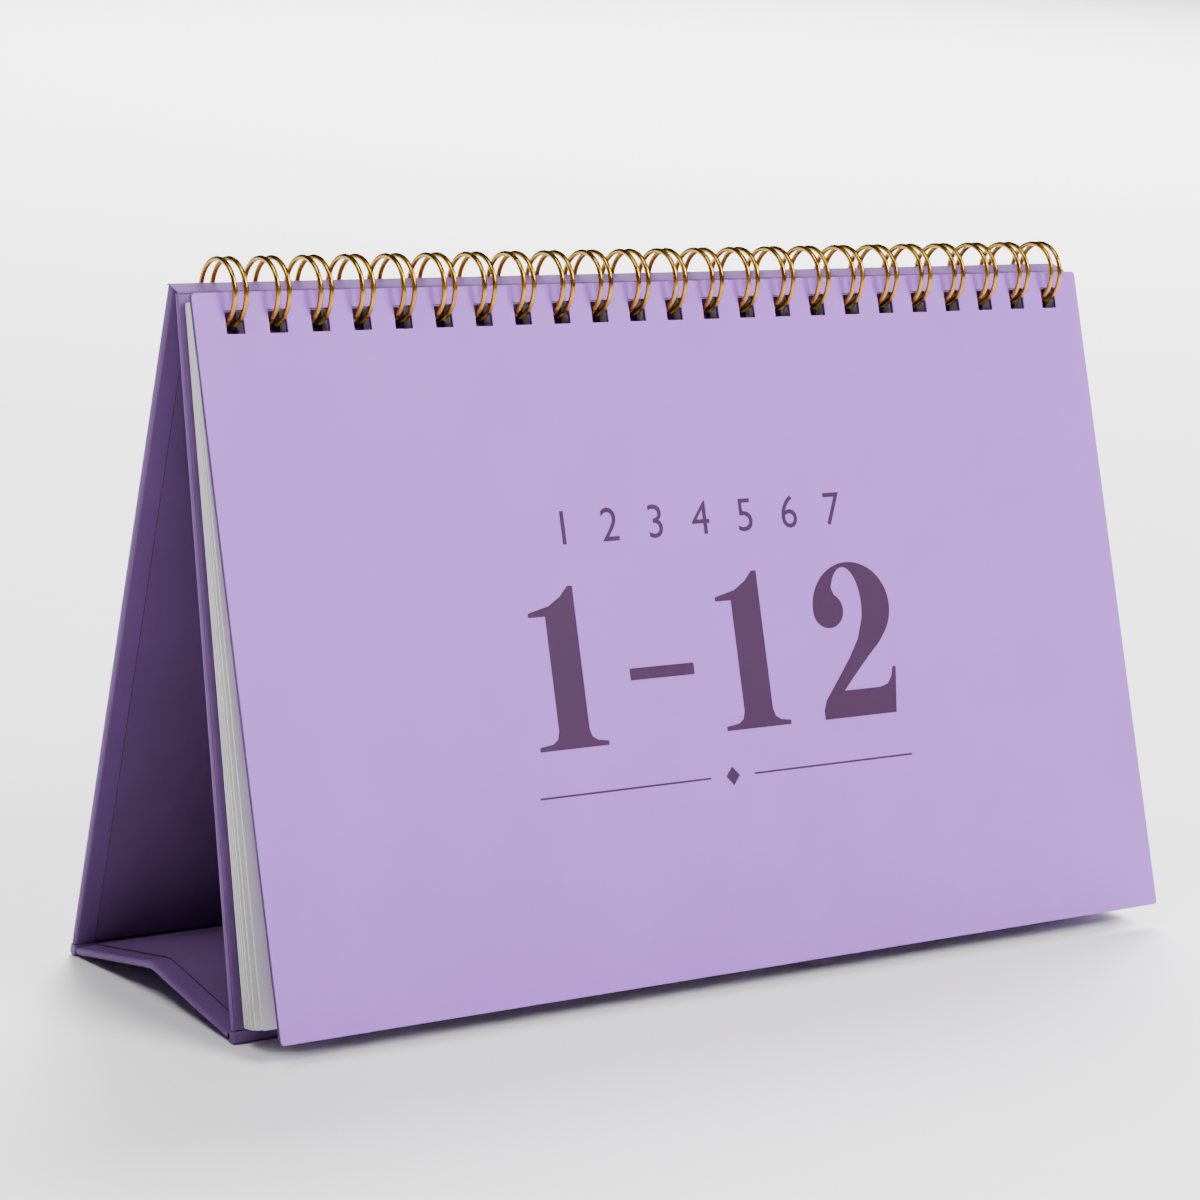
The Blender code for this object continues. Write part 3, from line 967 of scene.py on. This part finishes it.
class CALENDAR_OT_stage(bpy.types.Operator):
    """Sets the floor, the far wall, the soft lights and the camera"""
    bl_idname = "calendar.stage"
    bl_label = "Studio"

    def floor(self):
        """A wide pale floor at Z = 0."""
        bpy.ops.mesh.primitive_grid_add(x_subdivisions=8, y_subdivisions=8, size=FLOOR_SIDE)
        floor = bpy.context.object
        floor.name = "floor"
        floor.data.materials.append(floor_paper())

    def wall(self):
        """A pale round wall far behind everything, which is seen but gives no light."""
        bpy.ops.mesh.primitive_cylinder_add(
            vertices=96, radius=WALL_RADIUS, depth=WALL_HEIGHT, end_fill_type="NOTHING",
            location=(0.0, 0.0, WALL_HEIGHT / 2))
        wall = bpy.context.object
        wall.name = "studio_wall"
        wall.visible_diffuse = False
        wall.visible_glossy = False
        wall.visible_shadow = False
        wall.data.materials.append(wall_paint())

    def sky(self, context):
        """An even, weak light from all round."""
        world = bpy.data.worlds.new("studio")
        world.use_nodes = True
        background = world.node_tree.nodes["Background"]
        background.inputs["Color"].default_value = WHITE
        background.inputs["Strength"].default_value = SKY_LIGHT
        context.scene.world = world

    def lamp(self, context, name, shape, place, target, width, power, mirrored):
        """A soft lamp."""
        data = bpy.data.lights.new(name, "AREA")
        data.shape = shape
        data.size = width
        data.energy = power
        light = bpy.data.objects.new(name, data)
        context.scene.collection.objects.link(light)
        light.matrix_world = aim(place, target)
        light.visible_glossy = mirrored

    def camera(self, context):
        """The camera, turned by azimuth, elevation and roll."""
        azimuth, elevation, roll = (math.radians(turn) for turn in (AZIMUTH, ELEVATION, ROLL))
        flat = math.cos(elevation)
        forward = Vector((math.sin(azimuth) * flat, math.cos(azimuth) * flat, -math.sin(elevation)))
        level = forward.cross(Vector((0, 0, 1))).normalized()
        right = level * math.cos(roll) + forward.cross(level) * math.sin(roll)
        up = right.cross(forward)
        data = bpy.data.cameras.new("camera")
        data.sensor_width = SENSOR
        data.lens = SENSOR * FOCAL_PIXELS / FRAME_SIDE
        data.shift_x = (FRAME_SIDE / 2 - LENS_CENTRE[0]) / FRAME_SIDE
        data.shift_y = (LENS_CENTRE[1] - FRAME_SIDE / 2) / FRAME_SIDE
        data.clip_end = VIEW_REACH
        camera = bpy.data.objects.new("camera", data)
        context.scene.collection.objects.link(camera)
        turn = Matrix((right, up, -forward)).transposed()
        camera.matrix_world = Matrix.Translation(CAMERA_PLACE) @ turn.to_4x4()
        context.scene.camera = camera

    def execute(self, context):
        deselect()
        self.floor()
        self.wall()
        self.sky(context)
        for settings in LAMPS:
            self.lamp(context, *settings)
        self.camera(context)
        return {"FINISHED"}


# Add-on

class CALENDAR_PT_panel(bpy.types.Panel):
    """Lists the pieces of the calendar and their sizes"""
    bl_idname = "CALENDAR_PT_panel"
    bl_label = "Desk Calendar"
    bl_space_type = "VIEW_3D"
    bl_region_type = "UI"
    bl_category = "Calendar"

    def draw(self, context):
        for operator in OPERATORS:
            self.layout.operator(operator.bl_idname)
        for group in GROUPS:
            box = self.layout.box()
            box.label(text=group)
            for key in sizes(group).__annotations__:
                box.prop(sizes(group), key)


GROUPS = {
    "stand": CalendarStandSizes,
    "pages": CalendarPageSizes,
    "wire": CalendarWireSizes,
    "colours": CalendarColours,
}
OPERATORS = (
    CALENDAR_OT_wire,
    CALENDAR_OT_panels,
    CALENDAR_OT_spine,
    CALENDAR_OT_feet,
    CALENDAR_OT_crease,
    CALENDAR_OT_cover,
    CALENDAR_OT_cover_print,
    CALENDAR_OT_leaves,
    CALENDAR_OT_stage,
)


def register():
    for name, group in GROUPS.items():
        bpy.utils.register_class(group)
        setattr(bpy.types.Scene, "calendar_" + name, bpy.props.PointerProperty(type=group))
    for operator in OPERATORS:
        bpy.utils.register_class(operator)
    bpy.utils.register_class(CALENDAR_PT_panel)


def unregister():
    bpy.utils.unregister_class(CALENDAR_PT_panel)
    for operator in reversed(OPERATORS):
        bpy.utils.unregister_class(operator)
    for name, group in GROUPS.items():
        delattr(bpy.types.Scene, "calendar_" + name)
        bpy.utils.unregister_class(group)


def main():
    register()
    bpy.ops.calendar.wire()
    bpy.ops.calendar.panels()
    bpy.ops.calendar.spine()
    bpy.ops.calendar.feet()
    bpy.ops.calendar.crease()
    bpy.ops.calendar.cover()
    bpy.ops.calendar.cover_print()
    bpy.ops.calendar.leaves()
    bpy.ops.calendar.stage()


if __name__ == "__main__":
    main()
